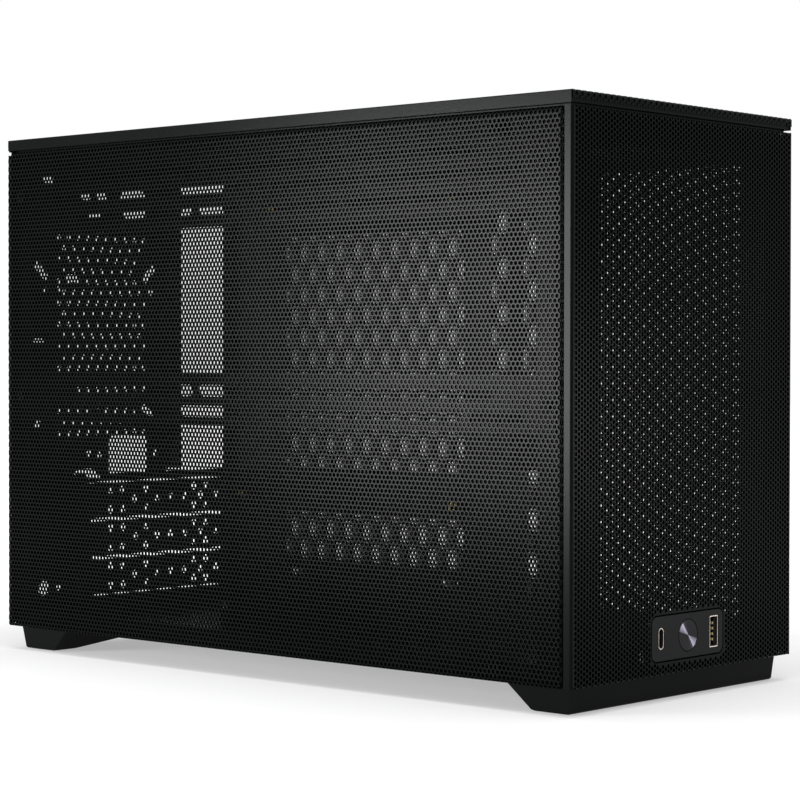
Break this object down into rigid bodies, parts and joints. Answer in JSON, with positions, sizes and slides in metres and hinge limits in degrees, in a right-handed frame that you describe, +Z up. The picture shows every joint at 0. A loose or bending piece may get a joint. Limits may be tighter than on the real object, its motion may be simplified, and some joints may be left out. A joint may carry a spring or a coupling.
{
  "type": "mini computer case",
  "caption": "Slim small-form-factor computer case with perforated pull-off panels, sheet metal chassis, rail feet and a front port plate with a power button.",
  "frame": {"origin": "centre of the footprint, on the floor under the foot rails", "axes": "+X across the width towards the tray side, +Y from the front panel to the rear, +Z up"},
  "size_m": [0.167, 0.365, 0.261],
  "materials": {
    "black_powder_coat": "satin",
    "zinc_steel": "satin",
    "brass": "satin",
    "black_plastic": "matte",
    "rubber": "matte",
    "grey_anodised": "satin",
    "bare_aluminium": "turned",
    "circuit_board": "satin"
  },
  "bodies": {
    "chassis": {"base_plate": "black_powder_coat", "front_frame": "black_powder_coat", "rear_panel": "black_powder_coat", "top_frame": "black_powder_coat", "motherboard_tray": "black_powder_coat", "fan_bracket": "black_powder_coat", "bracket_screws": "zinc_steel", "frame_rivets": "zinc_steel", "tray_rivets": "zinc_steel", "board_standoffs": "brass", "psu_bracket": "black_powder_coat", "psu_bracket_screws": "zinc_steel", "slot_cover_1": "black_powder_coat", "slot_cover_2": "black_powder_coat", "slot_cover_3": "black_powder_coat", "slot_ledge": "black_powder_coat", "slot_screws": "zinc_steel", "front_foot": "black_plastic", "rear_foot": "black_plastic", "foot_pads": "rubber", "foot_screws": "zinc_steel", "left_clips": "zinc_steel", "right_clips": "zinc_steel", "front_clips": "zinc_steel", "top_clips": "zinc_steel", "io_housing": "black_plastic", "io_plate": "grey_anodised", "io_screws": "zinc_steel", "io_board": "circuit_board", "usb_c_shell": "zinc_steel", "usb_c_tongue": "black_plastic", "usb_a_shell": "zinc_steel", "usb_a_tongue": "black_plastic", "usb_a_contacts": "brass", "power_switch": "black_plastic"},
    "power_button": {"power_button": "bare_aluminium"},
    "left_panel": {"left_panel": "black_powder_coat", "left_studs": "zinc_steel"},
    "right_panel": {"right_panel": "black_powder_coat", "right_studs": "zinc_steel"},
    "front_panel": {"front_panel": "black_powder_coat", "front_studs": "zinc_steel"},
    "top_panel": {"top_panel": "black_powder_coat", "top_studs": "zinc_steel"}
  },
  "joints": [
    {"name": "power_button_press", "type": "slide", "parent": "chassis", "child": "power_button", "axis": [0, 1, 0], "range_m": [0, 0.0012], "stiffness_N_per_m": 800, "springref_m": -0.0008},
    {"name": "left_panel_pull_off", "type": "slide", "parent": "chassis", "child": "left_panel", "axis": [-1, 0, 0], "range_m": [0, 0.12]},
    {"name": "right_panel_pull_off", "type": "slide", "parent": "chassis", "child": "right_panel", "axis": [1, 0, 0], "range_m": [0, 0.12]},
    {"name": "front_panel_pull_off", "type": "slide", "parent": "chassis", "child": "front_panel", "axis": [0, -1, 0], "range_m": [0, 0.12]},
    {"name": "top_panel_pull_off", "type": "slide", "parent": "chassis", "child": "top_panel", "axis": [0, 0, 1], "range_m": [0, 0.12]}
  ]
}
